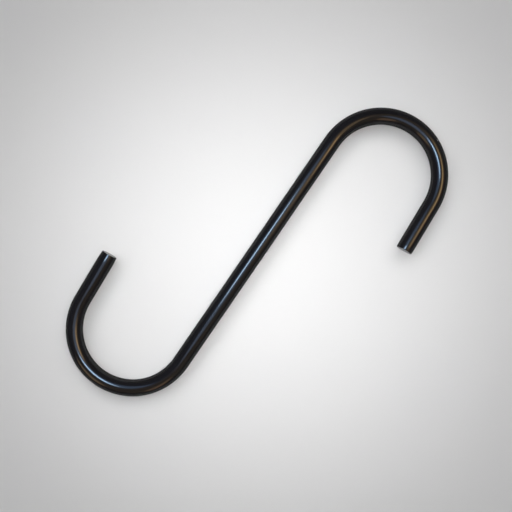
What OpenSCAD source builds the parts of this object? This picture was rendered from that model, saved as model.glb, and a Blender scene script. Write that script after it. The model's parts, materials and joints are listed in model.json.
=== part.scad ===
// S hook: one length of round steel bar, bent to a half circle at each end and lying flat.
//
// The bar is wound cold round a former, once at each end, both times the same way round, so
// the hooks open to opposite sides of the shank. Everything follows the bar's centre line,
// which runs straight, arc, straight with no corner between them.
//
// Frame: millimetres. The shank's middle is over the origin and the shank runs along X. The
// hook lies on Z = 0 on its side, as it comes to rest. The end at +X bends towards -Y.

/* [Bar] */
// Diameter of the round bar
bar_d = 6.35; // [3:0.05:12]
// Radius of the edge all round each cut end
end_round = 0.2; // [0.1:0.05:0.8]

/* [Shank] */
// Straight length between the two bends
shank_len = 101.6; // [40:0.1:300]

/* [Hooks] */
// Diameter of the former that each end is wound round, which is the hook's inside width
former_d = 38.1; // [16:0.1:80]
// Angle that each bend turns through, where 180 brings the end back parallel to the shank
bend_angle = 176.5; // [150:0.5:180]
// Straight length left beyond each bend, up to the cut face
tail_len = 20; // [4:0.5:60]

/* [Hidden] */
$fn = 72;
bar_r = bar_d / 2;
// From the centre of a bend to the middle of the bar
bend_r = former_d / 2 + bar_r;
// Straight bar to cut for one hook, measured along its middle
cut_len = shank_len + 2 * (bend_r * bend_angle * PI / 180 + tail_len);
// How much smaller the stretches of bar are while they are joined end to end
joining_scale = 0.01;

// Joins stretches of bar that meet end to end. A turned stretch ends a few millionths of a
// millimetre off its neighbour, so they are made small, joined there and made large again.
module end_to_end() {
    scale(1 / joining_scale)
        for (i = [0 : $children - 1])
            scale(joining_scale)
                children(i);
}

// A straight stretch of bar that starts at the origin and runs along +X
module straight(length) {
    rotate([0, 90, 0])
        cylinder(r = bar_r, h = length);
}

// A bend that starts at the origin, heading along +X, and turns towards -Y
module bend() {
    translate([0, -bend_r, 0])
        rotate(90 - bend_angle)
            rotate_extrude(angle = bend_angle)
                translate([bend_r, 0])
                    circle(r = bar_r);
}

// Carries its children from the start of a bend to its end, and turns them with the bar
module past_bend() {
    translate([0, -bend_r, 0])
        rotate(-bend_angle)
            translate([0, bend_r, 0])
                children();
}

// The end of the bar from where its edge starts to round up to the cut face, heading along +X
module cut_end() {
    rotate([0, 90, 0])
        rotate_extrude() {
            square([bar_r - end_round, end_round]);
            intersection() {
                translate([bar_r - end_round, 0])
                    circle(r = end_round);
                square([bar_r, end_round]);
            }
        }
}

// The last straight stretch, sheared off square and with its edge rounded
module tail() {
    straight(tail_len - end_round);
    translate([tail_len - end_round, 0, 0])
        cut_end();
}

// Its children at both ends of the shank, each heading away from the middle
module at_shank_ends() {
    for (turn = [0, 180])
        rotate(turn)
            translate([shank_len / 2, 0, 0])
                children();
}

module hook() {
    color("#1b1c20")
        translate([0, 0, bar_r])
            end_to_end() {
                translate([-shank_len / 2, 0, 0])
                    straight(shank_len);
                at_shank_ends()
                    bend();
                at_shank_ends()
                    past_bend()
                        tail();
            }
}

echo(str("Cut the bar to ", round(cut_len), " mm"));

hook();
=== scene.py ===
"""S hook: one bent steel bar in gloss black enamel, on a pale floor under studio lamps."""

import json
import math

import bmesh
import bpy
from bpy.props import FloatProperty, FloatVectorProperty, IntProperty, PointerProperty
from mathutils import Matrix, Vector


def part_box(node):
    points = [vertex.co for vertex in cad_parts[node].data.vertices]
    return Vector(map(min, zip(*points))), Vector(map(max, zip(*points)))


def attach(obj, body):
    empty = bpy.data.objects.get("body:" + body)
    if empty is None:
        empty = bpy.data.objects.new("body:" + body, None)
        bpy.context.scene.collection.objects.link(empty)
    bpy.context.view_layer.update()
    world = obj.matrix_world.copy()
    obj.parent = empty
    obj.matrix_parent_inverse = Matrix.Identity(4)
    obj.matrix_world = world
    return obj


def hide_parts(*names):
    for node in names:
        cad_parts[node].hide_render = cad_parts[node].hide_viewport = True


bl_info = {
    "name": "S Hook",
    "version": (1, 0, 0),
    "blender": (4, 5, 0),
    "location": "3D View > Sidebar > S Hook",
    "description": "Makes an enamelled S hook and the stage that it is shown on",
    "category": "Add Mesh",
}

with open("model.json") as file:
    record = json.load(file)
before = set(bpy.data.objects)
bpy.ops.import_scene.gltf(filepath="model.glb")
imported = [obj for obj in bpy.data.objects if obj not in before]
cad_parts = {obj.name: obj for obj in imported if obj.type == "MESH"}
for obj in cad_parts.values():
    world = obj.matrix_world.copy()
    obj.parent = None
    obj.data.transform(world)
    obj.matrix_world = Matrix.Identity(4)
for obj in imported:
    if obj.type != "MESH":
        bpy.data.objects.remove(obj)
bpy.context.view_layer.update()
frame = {"record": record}

NODE = "hook"
BODY = "root"
MM = 0.001


def mount(name):
    """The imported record's mount of that name."""
    return next(m for m in frame["record"]["mounts"] if m["name"] == name)


# The frame's own sizes, in metres. The +X end bends towards -Y, and the other end is its half turn.
LOW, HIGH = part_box(NODE)
SADDLE = mount("saddle_a")
TIP = mount("tip_a")
BAR_D = HIGH.z - LOW.z
BEND_R = SADDLE["dims"]["r_mm"] * MM + BAR_D / 2
BEND_ANGLE = math.atan2(-TIP["axis"][1], TIP["axis"][0])
SHANK_LEN = 2 * SADDLE["pos_m"][0]
# The radius of the edge round each cut face. The tip's mount stops where that edge begins.
EDGE_R = 0.2 * MM
TAIL_LEN = TIP["dims"]["length_mm"] * MM + EDGE_R

# A colour mix's sockets go by number, because they share their names with its number sockets.
MIX_FACTOR, MIX_A, MIX_B, MIX_RESULT = 0, 6, 7, 2
# A noise's values seldom leave this range.
NOISE_LOW, NOISE_HIGH = 0.3, 0.7


def linear(hex_colour):
    """A colour written as sRGB hex, such as "#1b1c20", in linear light."""
    values = (int(hex_colour[i : i + 2], 16) / 255 for i in (1, 3, 5))
    return tuple(v / 12.92 if v <= 0.04045 else ((v + 0.055) / 1.055) ** 2.4 for v in values)


def colour_prop(name, description, hex_colour):
    """A colour that a user can change."""
    return FloatVectorProperty(
        name=name, description=description, default=linear(hex_colour), subtype="COLOR", min=0, max=1
    )


def length_prop(name, description, metres, least=0.0):
    """A length that a user can change, in metres."""
    return FloatProperty(
        name=name, description=description, default=metres, min=least, unit="LENGTH", precision=5
    )


def share_prop(name, description, share):
    """A share of 1 that a user can change."""
    return FloatProperty(
        name=name, description=description, default=share, min=0, max=1, subtype="FACTOR"
    )


def angle_prop(name, description, degrees, least=0.0, most=180.0):
    """An angle that a user can change."""
    return FloatProperty(
        name=name,
        description=description,
        default=math.radians(degrees),
        min=math.radians(least),
        max=math.radians(most),
        subtype="ANGLE",
    )


class SHOOK_PG_bar(bpy.types.PropertyGroup):
    """Sizes of the bent bar"""

    bar_d: length_prop("Bar diameter", "Diameter of the enamelled round bar", BAR_D, MM)
    shank_len: length_prop("Shank", "Straight length between the two bends", SHANK_LEN, MM)
    bend_r: length_prop("Bend radius", "From the centre of a bend to the middle of the bar", BEND_R, MM)
    bend_angle: angle_prop("Bend angle", "Angle that each bend turns", math.degrees(BEND_ANGLE), 90)
    tail_len: length_prop("Tail", "Straight length beyond each bend, up to the cut face", TAIL_LEN, MM)
    edge_r: length_prop("Edge radius", "Radius of the edge all round each cut face", EDGE_R)
    draw_len: length_prop("Drawn-in length", "Length at each end that the shear drew in", 3.2 * MM, MM)
    draw_in: length_prop("Draw-in", "How far the surface has sunk at the -X end's cut face", 0.18 * MM)
    second_cut: share_prop("Second cut", "Size of the drawn-in part at +X, against the other", 0.48)
    line_pitch: length_prop("Shear lines", "Spacing of the lines on the cut faces", 0.9 * MM, 0.1 * MM)
    line_depth: length_prop("Line depth", "Depth that the enamel leaves of the lines", 0.02 * MM)
    step: length_prop("Mesh step", "Longest facet along the bar", 0.8 * MM, 0.1 * MM)
    sides: IntProperty(name="Sides", description="Facets round the bar", default=64, min=12, max=256)


class SHOOK_PG_enamel(bpy.types.PropertyGroup):
    """Colour and surface of the enamel"""

    coat: colour_prop("Coat", "Colour of the enamel where it is thick", "#100f11")
    thin_coat: colour_prop("Thin coat", "Colour of the enamel where it is thin", "#161517")
    peel_size: length_prop("Orange peel", "Width of one dimple in the coat", 1.3 * MM, 0.1 * MM)
    peel_depth: length_prop("Peel depth", "Depth of the dimples", 0.004 * MM)
    film: colour_prop("Film", "What the film lets through where light crosses it at a slant", "#bcbcbc")
    grit_size: length_prop("Cut face grain", "Width of the grain on the cut faces", 0.25 * MM, 0.02 * MM)
    grit_depth: length_prop("Grain depth", "Depth of the grain on the cut faces", 0.006 * MM)


class SHOOK_PG_stage(bpy.types.PropertyGroup):
    """The floor, the room and the camera"""

    # The floor's near and far colours and the pool's radius paint a pool of light on the floor: palest
    # under the hook, with painted shade round it.
    floor_near: colour_prop("Floor, near", "Colour of the floor under the hook", "#fafafa")
    floor_far: colour_prop("Floor, far", "Colour of the floor round the pale pool", "#c2c2c2")
    pool_r: length_prop("Pale pool", "Distance at which the floor is greyest", 145 * MM, MM)
    room_cool: colour_prop("Room, cool side", "Light from the upper room on the +Y side", "#5b6370")
    room_warm: colour_prop("Room, warm side", "Light from the upper room on the -Y side", "#766e63")
    key: share_prop("Key", "Share of the floor's light from the key lamps", 0.45)
    top: share_prop("Top", "Share of the floor's light from the lamp beside the lens", 0.435)
    eye: FloatVectorProperty(
        name="Eye",
        description="Where the lens is",
        default=(0.7 * MM, -3.4 * MM, 246.4 * MM),
        subtype="TRANSLATION",
        unit="LENGTH",
        precision=4,
    )
    aim: FloatVectorProperty(
        name="Aim",
        description="The point in the middle of the picture",
        default=(-1.2 * MM, -0.7 * MM, BAR_D / 2),
        subtype="TRANSLATION",
        unit="LENGTH",
        precision=4,
    )
    turn: angle_prop("Turn", "Angle at which the shank rises to the right in the picture", 55.56)
    field: angle_prop("Field of view", "Angle that the lens takes in from side to side", 43.55, 5, 120)


def add_object(name, data):
    """A new object of that data in the scene."""
    made = bpy.data.objects.new(name, data)
    bpy.context.scene.collection.objects.link(made)
    return made


def add_node(tree, kind, props=None, inputs=None):
    """A new node. props are its own settings, and inputs are values or other nodes' outputs."""
    node = tree.nodes.new(kind)
    for key, value in (props or {}).items():
        setattr(node, key, value)
    for key, value in (inputs or {}).items():
        if isinstance(value, bpy.types.NodeSocket):
            tree.links.new(value, node.inputs[key])
        else:
            node.inputs[key].default_value = value
    return node


def empty_material(name):
    """A new material with no nodes in it, and its node tree."""
    made = bpy.data.materials.new(name)
    made.use_nodes = True
    made.node_tree.nodes.clear()
    return made, made.node_tree


# ---- The bar's mesh ----


def centre_line(bar):
    """Points along the middle of the bar, from the -X end to the +X end, each with its heading.

    The line stops where the rounded edge of each cut end begins.
    """
    middle_z = LOW.z + bar.bar_d / 2
    half = []

    def straight(start, heading, length, step=bar.step):
        steps = math.ceil(length / step)
        for i in range(1, steps + 1):
            half.append((start + heading * (length * i / steps), heading))

    shank_heading = Vector((1, 0, 0))
    shank_middle = Vector((0, 0, middle_z))
    straight(shank_middle, shank_heading, bar.shank_len / 2)

    bend_centre = Vector((bar.shank_len / 2, -bar.bend_r, middle_z))
    steps = math.ceil(bar.bend_r * bar.bend_angle / bar.step)
    for i in range(1, steps + 1):
        angle = bar.bend_angle * i / steps
        outward = Vector((math.sin(angle), math.cos(angle), 0))
        heading = Vector((math.cos(angle), -math.sin(angle), 0))
        half.append((bend_centre + outward * bar.bend_r, heading))

    # The drawn-in part curves inwards, so its rings lie closer together.
    straight(*half[-1], bar.tail_len - bar.edge_r - bar.draw_len)
    straight(*half[-1], bar.draw_len, bar.step / 4)

    half_turn = Matrix.Rotation(math.pi, 3, "Z")
    other_half = [(half_turn @ point, -(half_turn @ heading)) for point, heading in reversed(half)]
    return other_half + [(shank_middle, shank_heading)] + half


def ring(mesh, point, heading, radius, sides):
    """A ring of vertices round a point, square to the heading."""
    across = Vector((-heading.y, heading.x, 0))
    vertices = []
    for i in range(sides):
        angle = math.tau * i / sides
        outward = across * math.cos(angle) + Vector((0, 0, math.sin(angle)))
        vertices.append(mesh.verts.new(point + outward * radius))
    return vertices


def join_rings(mesh, first, second, material=0):
    """A band of faces between two rings."""
    sides = len(first)
    for i in range(sides):
        j = (i + 1) % sides
        face = mesh.faces.new((first[i], first[j], second[j], second[i]))
        face.material_index = material


def drawn_in(bar, to_end, cut_size):
    """How far the surface has sunk, at that distance from where an end's rounded edge begins.

    cut_size is the size of that end's drawn-in part, against the sizes in bar.
    """
    # Above 1, so that the surface leaves the round bar without a crease.
    steepening = 1.5
    share = max(0, 1 - to_end / (bar.draw_len * cut_size))
    return bar.draw_in * cut_size * share**steepening


def cut_end(mesh, last_ring, end_r, point, heading, side, bar, lean):
    """Closes an end with a rounded edge and a sheared face.

    side is 1 at the end that the heading points out of and -1 at the other, and lean is the angle
    that the shear lines are spaced along.
    """
    out = heading * side
    edge_steps = 6
    for i in range(1, edge_steps + 1):
        angle = math.pi / 2 * i / edge_steps
        centre = point + out * (bar.edge_r * math.sin(angle))
        radius = end_r - bar.edge_r * (1 - math.cos(angle))
        next_ring = ring(mesh, centre, heading, radius, bar.sides)
        join_rings(mesh, last_ring, next_ring)
        last_ring = next_ring

    face_middle = point + out * bar.edge_r
    face_r = end_r - bar.edge_r
    across = Vector((-out.y, out.x, 0))
    spacing = across * math.cos(lean) + Vector((0, 0, math.sin(lean)))

    def lined(place):
        # The lines fade out at the rim, where the face meets its rounded edge.
        offset = place - face_middle
        share = 1 - (offset.length / face_r) ** 4
        wave = (1 - math.cos(math.tau * offset.dot(spacing) / bar.line_pitch)) / 2
        return place - out * (bar.line_depth * wave * share)

    face_steps = 14
    for i in range(1, face_steps):
        next_ring = ring(mesh, face_middle, heading, face_r * (1 - i / face_steps), bar.sides)
        for vertex in next_ring:
            vertex.co = lined(vertex.co)
        join_rings(mesh, last_ring, next_ring, 1)
        last_ring = next_ring
    middle = mesh.verts.new(lined(face_middle))
    for i in range(bar.sides):
        face = mesh.faces.new((last_ring[i], last_ring[(i + 1) % bar.sides], middle))
        face.material_index = 1


def bar_mesh(bar):
    """The whole bent bar as one closed mesh."""
    mesh = bmesh.new()
    line = centre_line(bar)
    start, start_heading = line[0]
    end, end_heading = line[-1]
    radii = [
        bar.bar_d / 2
        - drawn_in(bar, (point - start).length, 1)
        - drawn_in(bar, (point - end).length, bar.second_cut)
        for point, _ in line
    ]
    rings = [
        ring(mesh, point, heading, radius, bar.sides)
        for (point, heading), radius in zip(line, radii)
    ]
    for first, second in zip(rings, rings[1:]):
        join_rings(mesh, first, second)
    start_lean = math.radians(62)
    end_lean = math.radians(75)
    cut_end(mesh, rings[0], radii[0], start, start_heading, -1, bar, start_lean)
    cut_end(mesh, rings[-1], radii[-1], end, end_heading, 1, bar, end_lean)
    bmesh.ops.recalc_face_normals(mesh, faces=mesh.faces)
    for face in mesh.faces:
        face.smooth = True
    data = bpy.data.meshes.new("enamelled_bar")
    mesh.to_mesh(data)
    mesh.free()
    return data


# ---- Materials ----


def gloss_enamel(enamel):
    """Stoved black enamel, dipped over cold-drawn bar.

    The coat levels as it flows, so it mirrors the lamps as narrow streaks, and the faint orange
    peel that is left makes their edges waver. It mirrors less than half of what fresh enamel does,
    and less again at a slant, so the bar is dark to its very edges against the pale floor. That is
    taken to be a film of dust and wax, too thin to see.
    """
    material, tree = empty_material("gloss_black_enamel")
    place = add_node(tree, "ShaderNodeTexCoord").outputs["Object"]
    patch_size = 14 * MM
    patches = add_node(
        tree,
        "ShaderNodeTexNoise",
        inputs={"Vector": place, "Scale": 1 / patch_size, "Detail": 3.0, "Roughness": 0.6},
    )
    peel = add_node(
        tree,
        "ShaderNodeTexNoise",
        inputs={"Vector": place, "Scale": 1 / enamel.peel_size, "Detail": 1.0, "Roughness": 0.4},
    )
    coat = add_node(
        tree,
        "ShaderNodeMix",
        {"data_type": "RGBA"},
        {MIX_FACTOR: patches.outputs["Fac"], MIX_A: (*enamel.coat, 1), MIX_B: (*enamel.thin_coat, 1)},
    )
    roughness = add_node(
        tree,
        "ShaderNodeMapRange",
        inputs={
            "Value": patches.outputs["Fac"],
            "From Min": NOISE_LOW,
            "From Max": NOISE_HIGH,
            "To Min": 0.08,
            "To Max": 0.13,
        },
    )
    dimples = add_node(
        tree,
        "ShaderNodeBump",
        inputs={"Height": peel.outputs["Fac"], "Distance": enamel.peel_depth},
    )
    # The film is laid as a coat that mirrors nothing itself and only dims what is under it. It is
    # clear near the top of the bar and at full strength before the rims.
    film_clear = 0.3
    film_full = 0.8
    slant = add_node(tree, "ShaderNodeLayerWeight", inputs={"Blend": 0.5})
    film = add_node(
        tree,
        "ShaderNodeMapRange",
        inputs={"Value": slant.outputs["Facing"], "From Min": film_clear, "From Max": film_full},
    )
    shader = add_node(
        tree,
        "ShaderNodeBsdfPrincipled",
        inputs={
            "Base Color": coat.outputs[MIX_RESULT],
            "Roughness": roughness.outputs["Result"],
            "IOR": 1.5,
            "Specular IOR Level": 0.21,
            "Coat Weight": film.outputs["Result"],
            "Coat IOR": 1.0,
            "Coat Tint": (*enamel.film, 1),
            "Normal": dimples.outputs["Normal"],
        },
    )
    add_node(tree, "ShaderNodeOutputMaterial", inputs={"Surface": shader.outputs["BSDF"]})
    return material


def thin_enamel(enamel):
    """The same enamel, thin over a sheared face.

    It shows the steel's grain and blurs what it mirrors, and it has no film on it.
    """
    material, tree = empty_material("thin_black_enamel_on_sheared_steel")
    place = add_node(tree, "ShaderNodeTexCoord").outputs["Object"]
    grain = add_node(
        tree,
        "ShaderNodeTexNoise",
        inputs={"Vector": place, "Scale": 1 / enamel.grit_size, "Detail": 3.0, "Roughness": 0.6},
    )
    coat = add_node(
        tree,
        "ShaderNodeMix",
        {"data_type": "RGBA"},
        {MIX_FACTOR: grain.outputs["Fac"], MIX_A: (*enamel.coat, 1), MIX_B: (*enamel.thin_coat, 1)},
    )
    roughness = add_node(
        tree,
        "ShaderNodeMapRange",
        inputs={
            "Value": grain.outputs["Fac"],
            "From Min": NOISE_LOW,
            "From Max": NOISE_HIGH,
            "To Min": 0.18,
            "To Max": 0.3,
        },
    )
    tooth = add_node(
        tree,
        "ShaderNodeBump",
        inputs={"Height": grain.outputs["Fac"], "Distance": enamel.grit_depth},
    )
    shader = add_node(
        tree,
        "ShaderNodeBsdfPrincipled",
        inputs={
            "Base Color": coat.outputs[MIX_RESULT],
            "Roughness": roughness.outputs["Result"],
            "IOR": 1.5,
            "Normal": tooth.outputs["Normal"],
        },
    )
    add_node(tree, "ShaderNodeOutputMaterial", inputs={"Surface": shader.outputs["BSDF"]})
    return material


def painted_pool_card(stage):
    """Matt white card, with no gloss, on which a pool of light is painted.

    Its colour is palest under the hook, and painted shade makes it light grey round that. Further out,
    where less light falls, painted light makes it pale again, so it meets the room in one tone.
    """
    # Out to this distance painted light pales the card again, leaving this share of the painted shade.
    painted_light_r = 3 * stage.pool_r
    painted_shade_kept = 0.18
    material, tree = empty_material("matt_white_card_painted_pool")
    place = add_node(tree, "ShaderNodeTexCoord").outputs["Object"]
    distance = add_node(tree, "ShaderNodeVectorMath", {"operation": "LENGTH"}, {0: place})
    # Painted shade: the colour greys from the middle out to the pool's radius, as if less light fell
    # there.
    painted_falloff = add_node(
        tree,
        "ShaderNodeMapRange",
        {"interpolation_type": "SMOOTHSTEP"},
        {"Value": distance.outputs["Value"], "From Max": stage.pool_r},
    )
    # Painted light: beyond the pool the colour pales again, making up for the lens lamp's light falling
    # off.
    painted_paling = add_node(
        tree,
        "ShaderNodeMapRange",
        {"interpolation_type": "SMOOTHSTEP"},
        {
            "Value": distance.outputs["Value"],
            "From Min": stage.pool_r,
            "From Max": painted_light_r,
            "To Min": 1.0,
            "To Max": painted_shade_kept,
        },
    )
    painted_shade_amount = add_node(
        tree,
        "ShaderNodeMath",
        {"operation": "MULTIPLY"},
        {0: painted_falloff.outputs["Result"], 1: painted_paling.outputs["Result"]},
    )
    # The card's colour, with the painted pool of light and its painted shade in it.
    card = add_node(
        tree,
        "ShaderNodeMix",
        {"data_type": "RGBA"},
        {
            MIX_FACTOR: painted_shade_amount.outputs["Value"],
            MIX_A: (*stage.floor_near, 1),
            MIX_B: (*stage.floor_far, 1),
        },
    )
    shader = add_node(tree, "ShaderNodeBsdfDiffuse", inputs={"Color": card.outputs[MIX_RESULT]})
    add_node(tree, "ShaderNodeOutputMaterial", inputs={"Surface": shader.outputs["BSDF"]})
    return material


# ---- The stage ----


def floor(stage):
    """A level round card, far wider than any view, that touches the underside of the bar."""
    floor_r = 4.0
    mesh = bmesh.new()
    bmesh.ops.create_circle(mesh, cap_ends=True, cap_tris=True, segments=96, radius=floor_r)
    data = bpy.data.meshes.new("floor")
    mesh.to_mesh(data)
    mesh.free()
    data.materials.append(painted_pool_card(stage))
    made = add_object("floor", data)
    made.location.z = LOW.z


def room(stage):
    """A room that is as pale as the floor near the ground.

    Overhead it is dimmer, and cool on one side and warm on the other.
    """
    # How far up the walls begin to dim and have dimmed, where the ground is 0 and overhead is 1.
    walls_dim = 0.1
    walls_dimmed = 0.3
    world = bpy.data.worlds.new("studio_room")
    world.use_nodes = True
    tree = world.node_tree
    tree.nodes.clear()
    direction = add_node(tree, "ShaderNodeTexCoord").outputs["Generated"]
    parts = add_node(tree, "ShaderNodeSeparateXYZ", inputs={"Vector": direction})
    coolness = add_node(
        tree,
        "ShaderNodeMapRange",
        inputs={"Value": parts.outputs["Y"], "From Min": -1.0, "From Max": 1.0},
    )
    overhead = add_node(
        tree,
        "ShaderNodeMix",
        {"data_type": "RGBA"},
        {
            MIX_FACTOR: coolness.outputs["Result"],
            MIX_A: (*stage.room_warm, 1),
            MIX_B: (*stage.room_cool, 1),
        },
    )
    height = add_node(
        tree,
        "ShaderNodeMapRange",
        {"interpolation_type": "SMOOTHSTEP"},
        {"Value": parts.outputs["Z"], "From Min": walls_dim, "From Max": walls_dimmed},
    )
    walls = add_node(
        tree,
        "ShaderNodeMix",
        {"data_type": "RGBA"},
        {
            MIX_FACTOR: height.outputs["Result"],
            MIX_A: (*stage.floor_far, 1),
            MIX_B: overhead.outputs[MIX_RESULT],
        },
    )
    light = add_node(tree, "ShaderNodeBackground", inputs={"Color": walls.outputs[MIX_RESULT]})
    add_node(tree, "ShaderNodeOutputWorld", inputs={"Surface": light.outputs["Background"]})
    bpy.context.scene.world = world


def soft_sun(name, towards, width, share):
    """A wide, far lamp that lights the floor and shows in no reflection.

    towards points at the lamp, width is its angle across, and share is how bright it alone makes a
    white floor.
    """
    light = bpy.data.lights.new(name, "SUN")
    light.angle = width
    light.energy = math.pi * share / towards.normalized().z
    lamp = add_object(name, light)
    lamp.rotation_mode = "QUATERNION"
    lamp.rotation_quaternion = towards.to_track_quat("Z", "Y")
    lamp.visible_glossy = False


def lens_lamp(stage):
    """A round lamp beside the lens. It lights all that the lens sees, and shows in no reflection.

    Its share of the light is the one that it has on the floor straight under it.
    """
    width = 70 * MM
    height = stage.eye[2]
    light = bpy.data.lights.new("lens_lamp", "AREA")
    light.shape = "DISK"
    light.size = width
    brightness = stage.top * (1 + (2 * height / width) ** 2)
    light.energy = brightness * math.pi * (math.pi / 4 * width**2)
    lamp = add_object("lens_lamp", light)
    lamp.location = stage.eye
    lamp.visible_glossy = False
    lamp.visible_camera = False


def ceiling_panel(name, over, height, size, turn, colour, brightness):
    """A level oval panel that shows only in reflections.

    brightness is how bright it looks, where a white floor in full light is 1.
    """
    light = bpy.data.lights.new(name, "AREA")
    light.shape = "ELLIPSE"
    light.size, light.size_y = size
    light.color = linear(colour)
    light.energy = brightness * math.pi * (math.pi / 4 * size[0] * size[1])
    lamp = add_object(name, light)
    lamp.location = (*over, height)
    lamp.rotation_euler.z = turn
    lamp.visible_diffuse = False
    lamp.visible_camera = False


def lamps(stage):
    """Soft plain light for the floor, and the panels that the gloss mirrors."""
    key_towards = Vector((0.65, 0.76, 0.84))
    key_width = math.radians(34)
    for name, turn, share in (("key_right", -60, 0.3), ("key_middle", 0, 0.4), ("key_left", 60, 0.3)):
        towards = Matrix.Rotation(math.radians(turn), 3, "Z") @ key_towards
        soft_sun(name, towards, key_width, stage.key * share)
    lens_lamp(stage)

    # Each panel's name, place, height, size, turn, colour and brightness, lengths in metres.
    ceiling_panel("window", (0.003, 0.061), 0.52, (0.158, 0.134), math.radians(3), "#bee0ff", 38)
    ceiling_panel("window_glow", (-0.002, 0.025), 0.29, (0.21, 0.284), math.radians(-19), "#acd0ff", 3.1)
    ceiling_panel("warm_lamp", (0.69, -0.84), 1.73, (0.45, 1.1), math.radians(-35), "#ffcf8c", 12)
    ceiling_panel("warm_glow", (0.53, -0.88), 1.54, (1.1, 1.41), 0.0, "#ffd8a4", 2.7)
    ceiling_panel("warm_wall", (-2.21, 0.5), 1.49, (2.3, 0.9), math.radians(-6), "#ffd9a8", 3.6)
    ceiling_panel("warm_corner", (-1.58, -1.42), 1.2, (2.28, 0.78), math.radians(39), "#ffcca4", 2.5)
    ceiling_panel("warm_side", (-0.31, -1.4), 1.63, (5.5, 3.3), math.radians(-9), "#ffdcac", 0.58)
    ceiling_panel("cool_side", (-0.16, 1.49), 1.55, (3.1, 3.1), 0.0, "#c8d0ff", 0.15)


def camera(stage):
    """A camera that looks down on the hook."""
    eye = Vector(stage.eye)
    ahead = (Vector(stage.aim) - eye).normalized()
    picture_up = Vector((math.sin(stage.turn), math.cos(stage.turn), 0))
    right = ahead.cross(picture_up).normalized()
    up = right.cross(ahead)
    lens = bpy.data.cameras.new("camera")
    lens.angle = stage.field
    lens.clip_start = 10 * MM
    made = add_object("camera", lens)
    axes = Matrix((right, up, -ahead)).transposed()
    made.matrix_world = Matrix.Translation(eye) @ axes.to_4x4()
    bpy.context.scene.camera = made


# ---- The add-on ----


class SHOOK_OT_bar(bpy.types.Operator):
    """Make the bent and enamelled bar in place of the plain CAD one"""

    bl_idname = "s_hook.bar"
    bl_label = "Make the Bar"

    def execute(self, context):
        scene = context.scene
        piece = add_object("bent_bar", bar_mesh(scene.s_hook_bar))
        piece.data.materials.append(gloss_enamel(scene.s_hook_enamel))
        piece.data.materials.append(thin_enamel(scene.s_hook_enamel))
        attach(piece, BODY)
        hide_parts(NODE)
        return {"FINISHED"}


class SHOOK_OT_stage(bpy.types.Operator):
    """Set out the floor, the room, the lamps and the camera"""

    bl_idname = "s_hook.stage"
    bl_label = "Set the Stage"

    def execute(self, context):
        stage = context.scene.s_hook_stage
        floor(stage)
        room(stage)
        lamps(stage)
        camera(stage)
        context.scene.view_settings.view_transform = "Standard"
        return {"FINISHED"}


class SHOOK_PT_panel(bpy.types.Panel):
    """The S hook's sizes, finish and stage, with a button for each"""

    bl_label = "S Hook"
    bl_idname = "SHOOK_PT_panel"
    bl_space_type = "VIEW_3D"
    bl_region_type = "UI"
    bl_category = "S Hook"

    def draw(self, context):
        scene = context.scene
        for group, operator in (
            (scene.s_hook_bar, None),
            (scene.s_hook_enamel, SHOOK_OT_bar),
            (scene.s_hook_stage, SHOOK_OT_stage),
        ):
            box = self.layout.box()
            for key in group.bl_rna.properties.keys():
                if key not in ("rna_type", "name"):
                    box.prop(group, key)
            if operator:
                box.operator(operator.bl_idname)


CLASSES = (
    SHOOK_PG_bar,
    SHOOK_PG_enamel,
    SHOOK_PG_stage,
    SHOOK_OT_bar,
    SHOOK_OT_stage,
    SHOOK_PT_panel,
)


def register():
    for cls in CLASSES:
        bpy.utils.register_class(cls)
    bpy.types.Scene.s_hook_bar = PointerProperty(type=SHOOK_PG_bar)
    bpy.types.Scene.s_hook_enamel = PointerProperty(type=SHOOK_PG_enamel)
    bpy.types.Scene.s_hook_stage = PointerProperty(type=SHOOK_PG_stage)


def unregister():
    del bpy.types.Scene.s_hook_stage
    del bpy.types.Scene.s_hook_enamel
    del bpy.types.Scene.s_hook_bar
    for cls in reversed(CLASSES):
        bpy.utils.unregister_class(cls)


def main():
    """Makes the hook and its stage."""
    register()
    bpy.ops.s_hook.bar()
    bpy.ops.s_hook.stage()


if __name__ == "__main__":
    main()
